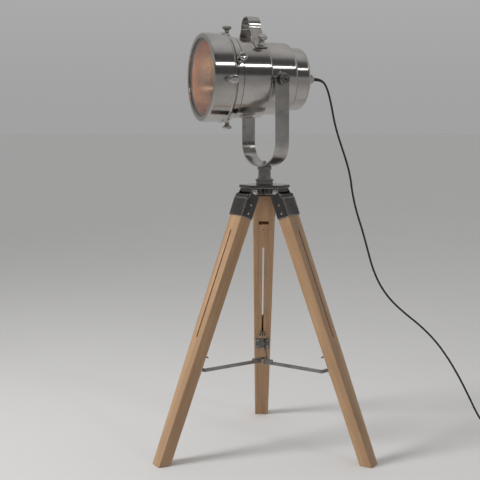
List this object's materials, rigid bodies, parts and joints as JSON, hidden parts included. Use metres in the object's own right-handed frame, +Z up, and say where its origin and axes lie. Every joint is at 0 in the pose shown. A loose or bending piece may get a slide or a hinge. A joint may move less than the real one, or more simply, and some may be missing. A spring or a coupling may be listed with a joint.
{
  "type": "tripod spotlight floor lamp",
  "caption": "Spotlight head with a glass-covered reflector, carried in a tilting U-shaped yoke on a swivel above a folding wooden tripod with sliding leg bars and a spreader.",
  "frame": {"origin": "the point on the floor under the tripod's vertical axis", "axes": "+Z up; one leg points along +Y, away from the viewer; +X is to the viewer's right; the head looks towards -X and 21 degrees towards the viewer"},
  "size_m": [1.2576, 0.5545, 1.256],
  "materials": {
    "nickel": "polished nickel with soft brushed streaks",
    "steel": "plated steel",
    "beech": "clear satin lacquer on light hardwood",
    "copper": "polished copper-toned inside",
    "clear_glass": "clear",
    "bulb_glass": "frosted",
    "black_plastic": "satin black",
    "black_rubber": "matte",
    "ceramic": "glazed"
  },
  "bodies": {
    "root_hub": {"hub_plate": "nickel", "swivel_bolt": "nickel", "swivel_collar": "nickel", "swivel_washer": "nickel", "swivel_nut": "nickel"},
    "lock_knob": {"swivel_lock_knob": "nickel"},
    "spreader_centre": {"spreader_hub": "steel", "hub_rivets": "steel"},
    "yoke": {"yoke": "nickel", "swivel_stem": "nickel", "cord": "black_plastic", "cord_coil": "black_plastic", "cord_tail": "black_plastic", "plug": "black_plastic"},
    "knob_near": {"tilt_knob_near": "nickel"},
    "knob_far": {"tilt_knob_far": "nickel"},
    "head": {"lamp_housing": "nickel", "rear_housing": "nickel", "end_cap": "nickel", "neck_ring": "nickel", "bezel": "nickel", "lens": "clear_glass", "lens_gasket": "black_rubber", "reflector": "copper", "lamp_holder": "ceramic", "bulb": "bulb_glass", "thumbscrews": "nickel", "handle": "nickel", "tilt_bosses": "nickel", "gland_body": "nickel", "gland_nut": "nickel"},
    "leg_back": {"leg_channel_back": "beech", "leg_bracket_back": "nickel", "hinge_pin_back": "nickel", "clamp_stud_back": "steel", "spreader_bracket_back": "steel"},
    "bar_back": {"leg_slider_back": "beech", "guide_bolt_back": "steel"},
    "wing_back": {"wing_nut_back": "nickel"},
    "arm_back": {"spreader_arm_back": "steel"},
    "leg_right": {"leg_channel_right": "beech", "leg_bracket_right": "nickel", "hinge_pin_right": "nickel", "clamp_stud_right": "steel", "spreader_bracket_right": "steel"},
    "bar_right": {"leg_slider_right": "beech", "guide_bolt_right": "steel"},
    "wing_right": {"wing_nut_right": "nickel"},
    "arm_right": {"spreader_arm_right": "steel"},
    "leg_left": {"leg_channel_left": "beech", "leg_bracket_left": "nickel", "hinge_pin_left": "nickel", "clamp_stud_left": "steel", "spreader_bracket_left": "steel"},
    "bar_left": {"leg_slider_left": "beech", "guide_bolt_left": "steel"},
    "wing_left": {"wing_nut_left": "nickel"},
    "arm_left": {"spreader_arm_left": "steel"}
  },
  "joints": [
    {"name": "yoke_pan", "type": "hinge", "parent": "root_hub", "child": "yoke", "pos_m": [0, 0, 0.82], "axis": [0, 0, 1], "range_deg": [-170, 170]},
    {"name": "head_tilt", "type": "hinge", "parent": "yoke", "child": "head", "pos_m": [0, 0, 1.076], "axis": [-0.3584, 0.9336, 0], "range_deg": [-60, 80], "deforming": ["cord"]},
    {"name": "tilt_knob_near_turn", "type": "hinge", "parent": "yoke", "child": "knob_near", "pos_m": [0, 0, 1.076], "axis": [0.3584, -0.9336, 0], "range_deg": [0, 360]},
    {"name": "tilt_knob_far_turn", "type": "hinge", "parent": "yoke", "child": "knob_far", "pos_m": [0, 0, 1.076], "axis": [-0.3584, 0.9336, 0], "range_deg": [0, 360]},
    {"name": "swivel_lock_turn", "type": "hinge", "parent": "root_hub", "child": "lock_knob", "pos_m": [0, -0.03, 0.7876], "axis": [0, -1, 0], "range_deg": [0, 360]},
    {"name": "leg_fold_back", "type": "hinge", "parent": "root_hub", "child": "leg_back", "pos_m": [0, 0.052, 0.763], "axis": [-1, 0, 0], "range_deg": [0, 15]},
    {"name": "leg_slide_back", "type": "slide", "parent": "leg_back", "child": "bar_back", "axis": [0, 0.3502, -0.9367], "range_m": [0, 0.3]},
    {"name": "wing_nut_turn_back", "type": "hinge", "parent": "leg_back", "child": "wing_back", "pos_m": [0, 0.19737, 0.29423], "axis": [0, -0.9367, -0.3502], "range_deg": [0, 360]},
    {"name": "spreader_arm_fold_back", "type": "hinge", "parent": "leg_back", "child": "arm_back", "pos_m": [0.009, 0.19298, 0.25201], "axis": [1, 0, 0], "range_deg": [0, 96.99]},
    {"name": "leg_fold_right", "type": "hinge", "parent": "root_hub", "child": "leg_right", "pos_m": [0.04503, -0.026, 0.763], "axis": [0.5, 0.866, 0], "range_deg": [0, 15]},
    {"name": "leg_slide_right", "type": "slide", "parent": "leg_right", "child": "bar_right", "axis": [0.3033, -0.1751, -0.9367], "range_m": [0, 0.3]},
    {"name": "wing_nut_turn_right", "type": "hinge", "parent": "leg_right", "child": "wing_right", "pos_m": [0.17093, -0.09869, 0.29423], "axis": [-0.8112, 0.4683, -0.3502], "range_deg": [0, 360]},
    {"name": "spreader_arm_fold_right", "type": "hinge", "parent": "leg_right", "child": "arm_right", "pos_m": [0.16262, -0.10428, 0.25201], "axis": [-0.5, -0.866, 0], "range_deg": [0, 96.99]},
    {"name": "leg_fold_left", "type": "hinge", "parent": "root_hub", "child": "leg_left", "pos_m": [-0.04503, -0.026, 0.763], "axis": [0.5, -0.866, 0], "range_deg": [0, 15]},
    {"name": "leg_slide_left", "type": "slide", "parent": "leg_left", "child": "bar_left", "axis": [-0.3033, -0.1751, -0.9367], "range_m": [0, 0.3]},
    {"name": "wing_nut_turn_left", "type": "hinge", "parent": "leg_left", "child": "wing_left", "pos_m": [-0.17093, -0.09869, 0.29423], "axis": [0.8112, 0.4683, -0.3502], "range_deg": [0, 360]},
    {"name": "spreader_arm_fold_left", "type": "hinge", "parent": "leg_left", "child": "arm_left", "pos_m": [-0.17162, -0.0887, 0.25201], "axis": [-0.5, 0.866, 0], "range_deg": [0, 96.99]},
    {"name": "spreader_drop", "type": "slide", "parent": "root_hub", "child": "spreader_centre", "axis": [0, 0, -1], "range_m": [0, 0.1881]}
  ],
  "couplings": [
    {"joint": "spreader_arm_fold_back", "follows": "leg_fold_back", "ratio": 6.446},
    {"joint": "leg_fold_right", "follows": "leg_fold_back", "ratio": 1},
    {"joint": "spreader_arm_fold_right", "follows": "leg_fold_back", "ratio": 6.446},
    {"joint": "leg_fold_left", "follows": "leg_fold_back", "ratio": 1},
    {"joint": "spreader_arm_fold_left", "follows": "leg_fold_back", "ratio": 6.446},
    {"joint": "spreader_drop", "follows": "leg_fold_back", "m_per_rad": 0.7166}
  ]
}
